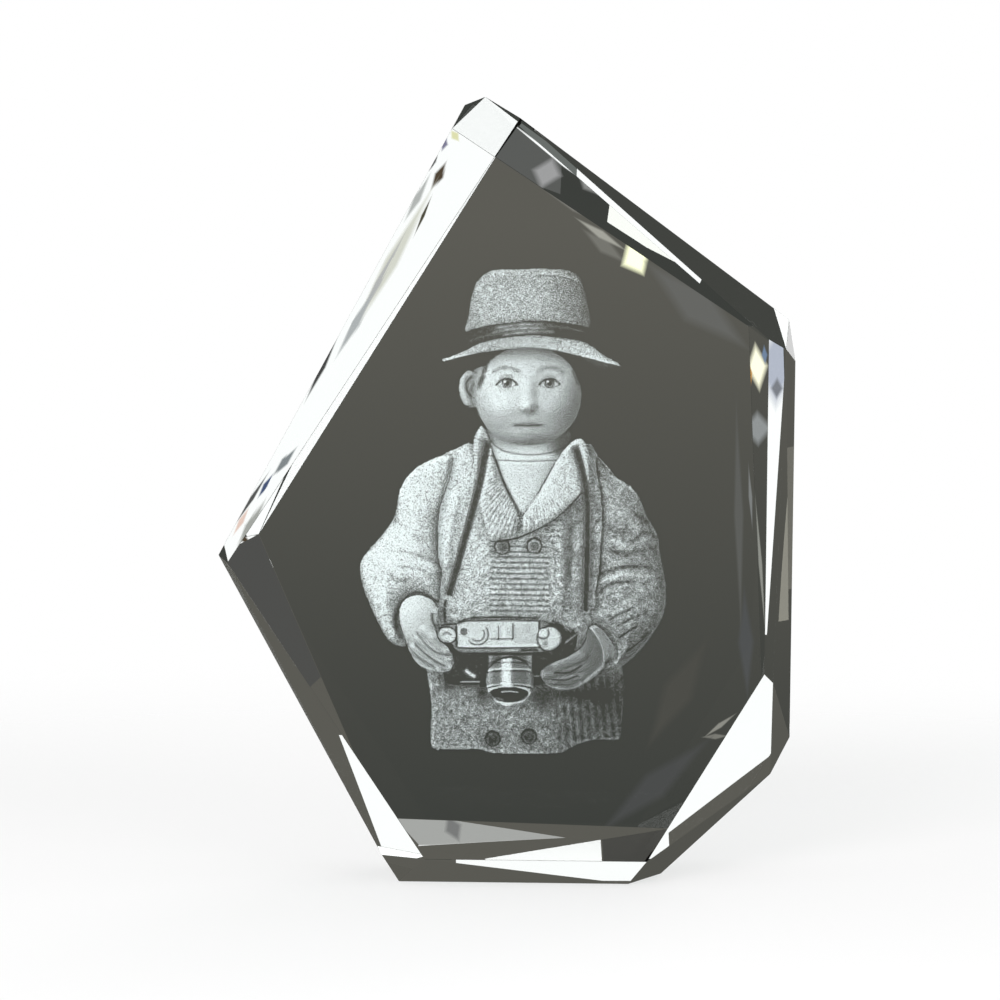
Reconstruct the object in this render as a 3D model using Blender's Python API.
"""Engraved glass block: one faceted piece of optical glass with a figure engraved below its surface.

The block stands on its base facet.  +X is to the right and +Z up, seen from the front, and the front
face looks along -Y.  Lengths are in millimetres until a mesh is made; Blender's unit is the metre.
The engraving is a layered relief: each region of the figure is one thin solid of cracked glass, and
the layers lie one in front of the other in a niche the size of the figure.
"""
import math

import bmesh
import bpy
from mathutils import Vector
from mathutils.geometry import convex_hull_2d

MM = 0.001

# Overall size of the block
BLOCK_WIDTH = 110.0
BLOCK_HEIGHT = 150.0
BLOCK_THICKNESS = 40.0

LEFT = -BLOCK_WIDTH / 2
RIGHT = BLOCK_WIDTH / 2
TOP = BLOCK_HEIGHT
FRONT = -BLOCK_THICKNESS / 2
BACK = BLOCK_THICKNESS / 2

# Corners of the flat front face, clockwise from the left one, as x and z
FRONT_FACE = [
    (LEFT + 1.8, 62.0),
    (2.2, TOP - 4.1),
    (RIGHT - 5.9, 104.3),
    (RIGHT - 6.5, 40.8),
    (26.3, 5.0),
    (-15.9, 5.5),
]

# Corners of the girdle, where the block is widest, as x, depth behind the front face, and z
GIRDLE = [
    (LEFT, 2.61, 63.3),
    (-8.3, 12.0, TOP - 1.5),
    (-4.4, 9.14, TOP),
    (RIGHT - 4.3, 12.0, 109.8),
    (RIGHT - 1.2, 15.0, 107.5),
    (RIGHT, 14.0, 99.6),
    (RIGHT - 2.5, 1.76, 102.3),
    (RIGHT - 4.7, 2.45, 38.9),
    (RIGHT - 0.7, 16.0, 26.9),
    (RIGHT - 4.6, 12.0, 20.3),
    (-24.2, 6.4, 5.4),
]

# Corners of the flat back face, as x and z
BACK_FACE = [
    (LEFT + 6.45, 65.4),
    (-2.45, TOP - 11.4),
    (RIGHT - 8.35, 105.9),
    (RIGHT - 5.65, 36.5),
    (31.25, 7.7),
    (-24.6, 9.8),
]

# Corners of the base facet the block stands on, as x and y
BASE_FACET = [
    (22.9, FRONT + 5.0),
    (29.6, FRONT + 18.5),
    (25.0, BACK - 8.0),
    (-20.0, BACK - 8.0),
    (-21.0, FRONT + 8.5),
]

# Facets closer to one plane than this are one facet
FLAT_ANGLE = math.radians(0.3)

# The figure: where its middle line and its hem are in the block, and how far behind the front face
# the back of the engraving lies
FIGURE_X = 3.4
FIGURE_HEM_Z = 23.8
ENGRAVING_DEPTH = 26.0

# Gap between two layers of the engraving, and between the engraving and its niche
LAYER_GAP = 0.3
NICHE_CLEARANCE = 0.6

# The niche opens to the base through one fine bore
VENT_RADIUS = 0.5
VENT_SIDES = 12

# Thickness of each layer of the relief
TORSO_DEPTH = 2.7
SECOND_DEPTH = 2.1
THIRD_DEPTH = 1.5
STRAP_DEPTH = 0.7
HAND_DEPTH = 2.6
HEAD_DEPTH = 2.8
HAT_DEPTH = 2.4
BAND_DEPTH = 0.8
LENS_DEPTH = 5.0
BUTTON_DEPTH = 0.8

# Rounding along the front edge of a layer
LAYER_EDGE = 0.5
FINE_EDGE = 0.25

# Points that a curve is drawn with between two of its given points
CURVE_STEPS = 3

# Outlines of the figure's regions, from its middle line and up from its hem
HAT_CROWN = [(-11.5, 81.5), (-11.0, 84.6), (-10.4, 88.2), (-9.4, 90.9), (-7.5, 92.8), (-5.0, 93.4),
             (0.8, 93.5), (6.8, 93.4), (9.4, 92.6), (10.7, 90.6), (11.6, 87.0), (12.0, 82.4), (6.5, 83.4),
             (0.8, 83.7), (-4.0, 83.2), (-7.6, 82.7)]
HAT_BAND = [(-11.9, 81.3), (-7.6, 82.6), (-4.0, 83.1), (0.8, 83.6), (6.5, 83.3), (12.3, 82.2),
            (12.7, 79.4), (10.2, 80.1), (6.5, 80.6), (2.0, 81.1), (-4.2, 80.7), (-8.9, 79.6),
            (-12.3, 78.2)]
HAT_BRIM = [(-16.0, 76.1), (-14.1, 76.9), (-11.4, 78.0), (-8.9, 79.3), (-4.2, 80.4), (2.0, 80.8),
            (6.5, 80.3), (10.2, 79.8), (12.7, 78.6), (15.0, 76.9), (18.2, 75.0), (15.4, 74.2),
            (12.4, 75.2), (9.9, 76.9), (6.5, 77.7), (0.8, 78.5), (-5.5, 78.0), (-11.0, 76.9),
            (-13.2, 75.5)]
NECK = [(-7.2, 64.6), (-7.0, 61.0), (-5.7, 56.8), (-3.8, 51.9), (-0.4, 46.6), (3.0, 52.0), (5.9, 57.0),
        (7.8, 59.6), (8.2, 62.4), (1.0, 64.6)]
COLLAR_LEFT = [(-8.6, 63.4), (-10.0, 60.6), (-9.9, 56.0), (-9.2, 50.0), (-8.2, 45.6), (-6.7, 41.5),
               (-4.2, 41.6), (-2.0, 42.2), (-1.5, 44.2), (-1.5, 46.6), (-4.1, 51.8), (-5.6, 56.0),
               (-6.7, 59.0), (-7.3, 61.6)]
COLLAR_RIGHT = [(8.0, 59.6), (10.4, 61.0), (12.0, 58.8), (12.2, 54.0), (10.9, 50.4), (8.4, 47.9),
                (4.0, 44.5), (0.0, 42.8), (-0.7, 44.4), (-0.5, 46.2), (3.2, 51.8), (6.0, 57.0)]
TORSO = [(-9.8, 59.6), (-13.4, 58.8), (-17.0, 56.8), (-19.0, 52.0), (-19.6, 44.0), (-18.8, 30.0),
         (-19.1, 16.6), (-18.6, 12.6), (-18.2, 8.5), (-18.4, 4.5), (-18.1, 1.0), (-15.0, 0.7),
         (-9.0, 0.8), (-6.2, 0.1), (5.6, 0.0), (8.2, 0.9), (10.8, 2.1), (14.0, 2.7), (17.9, 2.6),
         (18.4, 5.4), (18.8, 9.4), (19.1, 13.0), (18.2, 20.0), (18.0, 33.6), (20.0, 45.0), (17.4, 53.0),
         (13.8, 57.4), (11.6, 59.8), (5.8, 52.6), (0.2, 46.2), (-5.0, 52.8)]
SLEEVE_LEFT = [(-14.2, 57.8), (-18.4, 56.7), (-21.8, 54.6), (-24.2, 51.0), (-25.2, 46.0), (-27.9, 42.0),
               (-30.7, 38.8), (-31.9, 36.4), (-31.4, 32.6), (-29.9, 28.7), (-28.0, 24.6), (-26.0, 21.6),
               (-23.4, 20.9), (-22.4, 22.8), (-23.4, 25.6), (-23.2, 28.2), (-21.8, 29.8), (-19.6, 30.2),
               (-17.0, 28.8), (-16.5, 32.0), (-16.1, 35.2), (-16.8, 37.6), (-16.9, 43.0), (-16.4, 47.8),
               (-14.6, 53.0)]
SLEEVE_RIGHT = [(13.6, 57.4), (16.6, 54.0), (20.2, 51.5), (21.8, 49.4), (23.2, 46.0), (25.3, 42.4),
                (25.7, 39.0), (26.4, 35.6), (27.0, 31.5), (26.6, 27.5), (24.6, 23.5), (21.8, 19.9),
                (18.6, 17.0), (16.0, 15.9), (14.6, 17.2), (15.8, 19.0), (15.6, 21.4), (13.4, 24.4),
                (12.2, 27.0), (13.5, 28.8), (13.2, 30.8), (13.9, 34.0), (14.2, 38.0), (14.5, 42.0),
                (14.6, 46.0), (14.4, 50.0), (13.6, 54.4)]
HAND_LEFT = [(-20.6, 31.0), (-23.0, 30.2), (-24.2, 28.4), (-24.0, 25.4), (-23.1, 22.7), (-22.4, 20.4),
             (-20.9, 17.8), (-18.6, 16.6), (-15.7, 16.1), (-14.4, 16.7), (-13.9, 18.0), (-14.2, 19.6),
             (-15.2, 21.2), (-17.0, 22.8), (-17.3, 25.4), (-16.8, 28.2), (-18.2, 30.1)]
HAND_RIGHT = [(12.1, 24.6), (13.5, 25.0), (15.7, 23.0), (16.9, 20.6), (16.6, 18.6), (14.9, 16.8),
              (13.3, 15.3), (11.7, 14.1), (9.7, 13.0), (6.9, 12.5), (4.4, 13.3), (2.9, 15.0),
              (3.1, 16.5), (5.0, 17.8), (8.0, 19.0), (10.6, 20.8), (11.6, 22.6)]
CAMERA_BODY = [(-16.2, 24.0), (-10.0, 25.4), (0.0, 25.6), (6.6, 25.0), (9.8, 23.0), (8.6, 18.4),
               (3.8, 13.5), (-5.0, 12.9), (-14.4, 13.3), (-16.0, 16.0)]
CAMERA_TOP = [(-16.9, 23.4), (-16.2, 24.8), (-14.6, 25.1), (-13.0, 25.3), (-11.0, 25.8), (-5.0, 26.0),
              (2.0, 25.9), (4.6, 25.2), (6.5, 23.8), (6.8, 22.0), (5.4, 20.5), (2.8, 19.9), (-5.0, 19.8),
              (-12.0, 19.8), (-13.6, 20.6), (-14.4, 21.6), (-16.2, 21.8)]
STRAP_LEFT = [(-7.3, 60.6), (-8.0, 57.6), (-8.6, 54.0), (-9.4, 50.6), (-10.9, 44.9), (-12.1, 40.6),
              (-13.2, 36.6), (-14.4, 32.6), (-15.0, 30.6)]
STRAP_RIGHT = [(9.4, 59.4), (10.5, 56.0), (11.3, 52.4), (11.7, 48.0), (11.7, 44.0), (11.6, 36.8),
               (11.4, 30.0), (11.4, 27.4)]
STRAP_LEFT_WIDTH = 1.5
STRAP_RIGHT_WIDTH = 1.4

# The head is a plain oval, with one ear clear of it
HEAD_CENTRE = (0.4, 69.2)
HEAD_HALF_WIDTH = 10.2
HEAD_HALF_HEIGHT = 9.6
HEAD_SIDES = 28
EAR_SIDE = -10.6
EAR_HEIGHT = 70.6
EAR_HALF_WIDTH = 2.2
EAR_HALF_HEIGHT = 3.6

LENS_CENTRE = (-3.1, 14.4)
LENS_RADIUS = 4.6
LENS_SIDES = 28

BUTTON_RADIUS = 1.6
BUTTON_SIDES = 16
BUTTON_CENTRES = [(-4.6, 40.0), (1.6, 40.2), (-6.4, 2.9), (0.6, 3.3)]

# Surface colours as linear light, with roughness
GLASS_COLOUR = (0.80, 0.84, 0.83, 1.0)
GLASS_ROUGHNESS = 0.03
PALE_FROST = (0.66, 0.69, 0.69, 1.0)
MID_FROST = (0.38, 0.40, 0.40, 1.0)
DARK_FROST = (0.12, 0.13, 0.13, 1.0)
FROST_ROUGHNESS = 0.85


def clear_scene():
    """Remove every object, so that the script starts from nothing."""
    for old in list(bpy.data.objects):
        bpy.data.objects.remove(old, do_unlink=True)


def material(name, colour, roughness):
    """A Principled material with one colour and one roughness."""
    made = bpy.data.materials.new(name)
    made.use_nodes = True
    shader = made.node_tree.nodes["Principled BSDF"]
    shader.inputs["Base Color"].default_value = colour
    shader.inputs["Roughness"].default_value = roughness
    shader.inputs["Metallic"].default_value = 0.0
    return made


def add_object(name, mesh_builder, surface):
    """Make one object from a bmesh in millimetres and give it its material."""
    bmesh.ops.recalc_face_normals(mesh_builder, faces=mesh_builder.faces)
    bmesh.ops.scale(mesh_builder, vec=(MM, MM, MM), verts=mesh_builder.verts)
    mesh = bpy.data.meshes.new(name)
    mesh_builder.to_mesh(mesh)
    mesh_builder.free()
    mesh.materials.append(surface)
    thing = bpy.data.objects.new(name, mesh)
    bpy.context.scene.collection.objects.link(thing)
    return thing


def smooth_outline(points):
    """A closed curve through the given points."""
    count = len(points)
    curve = []
    for index in range(count):
        before, start, end, after = [Vector(points[(index + step) % count]) for step in (-1, 0, 1, 2)]
        for step in range(CURVE_STEPS):
            t = step / CURVE_STEPS
            curve.append(0.5 * (2 * start + (end - before) * t
                                + (2 * before - 5 * start + 4 * end - after) * t * t
                                + (3 * start - before - 3 * end + after) * t ** 3))
    return curve


def oval(centre, half_width, half_height, sides):
    """An ellipse as a closed outline."""
    turns = [2 * math.pi * index / sides for index in range(sides)]
    return [Vector((centre[0] + half_width * math.cos(turn), centre[1] + half_height * math.sin(turn)))
            for turn in turns]


def ribbon(points, width):
    """A strip of even width along a line of points, as a closed outline."""
    line = [Vector(point) for point in points]
    sides = ([], [])
    for index, point in enumerate(line):
        along = line[min(index + 1, len(line) - 1)] - line[max(index - 1, 0)]
        across = Vector((-along.y, along.x)).normalized() * width / 2
        sides[0].append(point + across)
        sides[1].append(point - across)
    return sides[0] + sides[1][::-1]


def head_outline():
    """The oval of the head with the ear standing out at its side."""
    head = oval(HEAD_CENTRE, HEAD_HALF_WIDTH, HEAD_HALF_HEIGHT, HEAD_SIDES)
    ear = oval((EAR_SIDE, EAR_HEIGHT), EAR_HALF_WIDTH, EAR_HALF_HEIGHT, HEAD_SIDES)

    def inside(point, centre, half_width, half_height):
        return ((point.x - centre[0]) / half_width) ** 2 + ((point.y - centre[1]) / half_height) ** 2 < 1

    kept_head = [p for p in head if not inside(p, (EAR_SIDE, EAR_HEIGHT), EAR_HALF_WIDTH, EAR_HALF_HEIGHT)]
    kept_ear = [p for p in ear if not inside(p, HEAD_CENTRE, HEAD_HALF_WIDTH, HEAD_HALF_HEIGHT)]
    middle = Vector(HEAD_CENTRE)
    both = kept_head + kept_ear
    return sorted(both, key=lambda p: math.atan2(p.y - middle.y, p.x - middle.x))


def offset_outline(outline, distance):
    """The outline moved outwards by the distance, or inwards where it is negative."""
    count = len(outline)
    turning = sum(outline[i].x * outline[(i + 1) % count].y - outline[(i + 1) % count].x * outline[i].y
                  for i in range(count))
    outward = 1 if turning > 0 else -1
    moved = []
    for index, point in enumerate(outline):
        first = (point - outline[index - 1]).normalized()
        second = (outline[(index + 1) % count] - point).normalized()
        along = (first + second).normalized()
        moved.append(point + Vector((along.y, -along.x)) * distance * outward)
    return moved


def loft(builder, rings):
    """Join rings of equal length into one closed skin, capped at both ends."""
    rows = [[builder.verts.new(point) for point in ring] for ring in rings]
    for lower, upper in zip(rows, rows[1:]):
        for index in range(len(lower)):
            builder.faces.new((lower[index - 1], lower[index], upper[index], upper[index - 1]))
    builder.faces.new(rows[0])
    builder.faces.new(rows[-1])


def in_block(outline, layer):
    """Points of an outline in the block, on the layer that far in front of the engraving's back."""
    depth = FRONT + ENGRAVING_DEPTH - layer
    return [Vector((FIGURE_X + point.x, depth, FIGURE_HEM_Z + point.y)) for point in outline]


def relief(name, outline, rear, depth, edge, surface):
    """One region of the engraving: a flat-backed layer with its front edge eased."""
    inner = offset_outline(outline, -edge)
    builder = bmesh.new()
    loft(builder, [in_block(outline, rear), in_block(outline, rear + depth - edge),
                   in_block(inner, rear + depth)])
    REGION_OUTLINES.append(outline)
    return add_object(name, builder, surface)


def crystal_corners():
    """Every corner of the block."""
    corners = [Vector((x, FRONT, z)) for x, z in FRONT_FACE]
    corners += [Vector((x, FRONT + depth, z)) for x, depth, z in GIRDLE]
    corners += [Vector((x, BACK, z)) for x, z in BACK_FACE]
    corners += [Vector((x, y, 0.0)) for x, y in BASE_FACET]
    return corners


def crystal_block(surface):
    """The block: the one convex body that all the corners span, each facet one flat face."""
    builder = bmesh.new()
    for corner in crystal_corners():
        builder.verts.new(corner)
    spanned = bmesh.ops.convex_hull(builder, input=builder.verts)
    spare = [item for item in spanned["geom_interior"] if isinstance(item, bmesh.types.BMVert)]
    bmesh.ops.delete(builder, geom=spare, context="VERTS")
    bmesh.ops.dissolve_limit(builder, angle_limit=FLAT_ANGLE, verts=builder.verts, edges=builder.edges)
    return add_object("crystal_block", builder, surface)


def cut(body, name, builder):
    """Take a hidden cutter away from the body."""
    cutter = add_object(name, builder, body.data.materials[0])
    cutter.hide_render = True
    cutter.display_type = "WIRE"
    taken = body.modifiers.new(name, "BOOLEAN")
    taken.operation = "DIFFERENCE"
    taken.solver = "EXACT"
    taken.object = cutter


def cut_niche(body, total_depth):
    """Open the niche round the whole engraving, and the bore from it down to the base."""
    points = [point for outline in REGION_OUTLINES for point in outline]
    around = offset_outline([points[index] for index in convex_hull_2d(points)], NICHE_CLEARANCE)
    niche = bmesh.new()
    loft(niche, [in_block(around, 0.0), in_block(around, total_depth)])
    cut(body, "niche_cutter", niche)
    middle = FRONT + ENGRAVING_DEPTH - total_depth / 2
    bore = bmesh.new()
    mouth = oval((FIGURE_X, middle), VENT_RADIUS, VENT_RADIUS, VENT_SIDES)
    loft(bore, [[Vector((p.x, p.y, -1.0)) for p in mouth],
                [Vector((p.x, p.y, FIGURE_HEM_Z + 1.0)) for p in mouth]])
    cut(body, "vent_cutter", bore)


clear_scene()
REGION_OUTLINES = []

glass = material("optical_glass", GLASS_COLOUR, GLASS_ROUGHNESS)
pale = material("engraving_dense", PALE_FROST, FROST_ROUGHNESS)
mid = material("engraving_open", MID_FROST, FROST_ROUGHNESS)
dark = material("engraving_sparse", DARK_FROST, FROST_ROUGHNESS)

# Layers from the back of the engraving to its front, each a gap clear of the one behind it
first = LAYER_GAP
second = first + TORSO_DEPTH + LAYER_GAP
third = second + SECOND_DEPTH + LAYER_GAP
fourth = third + THIRD_DEPTH + LAYER_GAP
hat_layer = third + HEAD_DEPTH + LAYER_GAP
band_layer = hat_layer + HAT_DEPTH + LAYER_GAP

relief("engraved_torso", smooth_outline(TORSO), first, TORSO_DEPTH, LAYER_EDGE, mid)
relief("engraved_sleeve_left", smooth_outline(SLEEVE_LEFT), second, SECOND_DEPTH, LAYER_EDGE, mid)
relief("engraved_sleeve_right", smooth_outline(SLEEVE_RIGHT), second, SECOND_DEPTH, LAYER_EDGE, mid)
relief("engraved_neck", smooth_outline(NECK), second, SECOND_DEPTH, LAYER_EDGE, pale)
relief("engraved_camera_body", smooth_outline(CAMERA_BODY), second, SECOND_DEPTH, LAYER_EDGE, dark)
relief("engraved_camera_top", smooth_outline(CAMERA_TOP), third, THIRD_DEPTH, FINE_EDGE, pale)
relief("engraved_collar_left", smooth_outline(COLLAR_LEFT), third, THIRD_DEPTH, LAYER_EDGE, mid)
relief("engraved_collar_right", smooth_outline(COLLAR_RIGHT), third, THIRD_DEPTH, LAYER_EDGE, mid)
relief("engraved_head", head_outline(), third, HEAD_DEPTH, LAYER_EDGE, pale)
relief("engraved_hat_crown", smooth_outline(HAT_CROWN), hat_layer, HAT_DEPTH, LAYER_EDGE, pale)
relief("engraved_hat_band", smooth_outline(HAT_BAND), band_layer, BAND_DEPTH, FINE_EDGE, dark)
relief("engraved_hat_brim", smooth_outline(HAT_BRIM), hat_layer, HAT_DEPTH, FINE_EDGE, pale)
relief("engraved_strap_left", ribbon(STRAP_LEFT, STRAP_LEFT_WIDTH), fourth, STRAP_DEPTH, FINE_EDGE, dark)
relief("engraved_strap_right", ribbon(STRAP_RIGHT, STRAP_RIGHT_WIDTH), fourth, STRAP_DEPTH, FINE_EDGE, dark)
relief("engraved_hand_left", smooth_outline(HAND_LEFT), fourth, HAND_DEPTH, LAYER_EDGE, pale)
relief("engraved_hand_right", smooth_outline(HAND_RIGHT), third, HAND_DEPTH, LAYER_EDGE, pale)
relief("engraved_camera_lens", oval(LENS_CENTRE, LENS_RADIUS, LENS_RADIUS, LENS_SIDES), third,
       LENS_DEPTH, LAYER_EDGE, mid)
for number, centre in enumerate(BUTTON_CENTRES, start=1):
    relief("engraved_button_%d" % number, oval(centre, BUTTON_RADIUS, BUTTON_RADIUS, BUTTON_SIDES), second,
           BUTTON_DEPTH, FINE_EDGE, dark)

engraving_front = max(band_layer + BAND_DEPTH, third + LENS_DEPTH, fourth + HAND_DEPTH)
block = crystal_block(glass)
cut_niche(block, engraving_front + LAYER_GAP)
